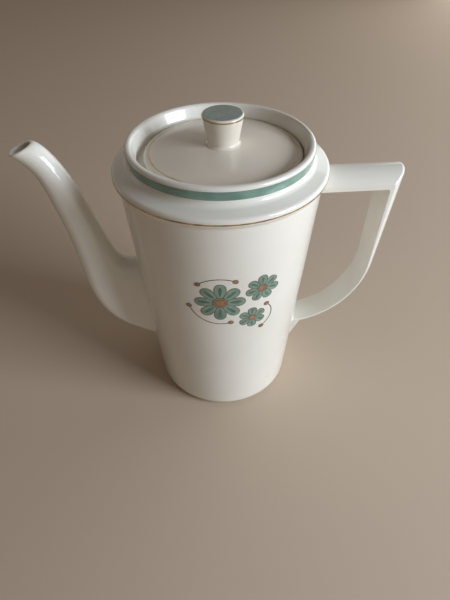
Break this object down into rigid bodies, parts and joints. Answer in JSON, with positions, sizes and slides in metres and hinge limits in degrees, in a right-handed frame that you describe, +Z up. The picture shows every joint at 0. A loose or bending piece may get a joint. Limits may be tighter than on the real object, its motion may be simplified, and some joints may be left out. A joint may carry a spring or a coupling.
{
  "type": "coffee pot",
  "caption": "Glazed ceramic coffee pot: tapered body with an overhanging shoulder and collar, S-shaped spout, square-cornered strap handle and a loose lid with a cone knob.",
  "frame": {"origin": "on the pot's upright axis, in the plane of the foot ring that stands on the table", "axes": "+Z up along the pot's axis, +X toward the handle, -X toward the spout"},
  "size_m": [0.2121, 0.1171, 0.1861],
  "materials": {
    "glaze": "glossy",
    "band_enamel": "glossy",
    "knob_enamel": "glossy",
    "gold": "polished"
  },
  "bodies": {
    "pot": {"pot_body": "glaze", "spout": "glaze", "handle": "glaze", "collar_band": "band_enamel", "shoulder_line": "gold"},
    "lid": {"lid": "glaze", "lid_knob": "glaze", "lid_line": "gold", "knob_line": "gold", "knob_disc": "knob_enamel"}
  },
  "joints": [
    {"name": "lid_lift", "type": "slide", "parent": "pot", "child": "lid", "axis": [0, 0, 1], "range_m": [0, 0.06]}
  ]
}
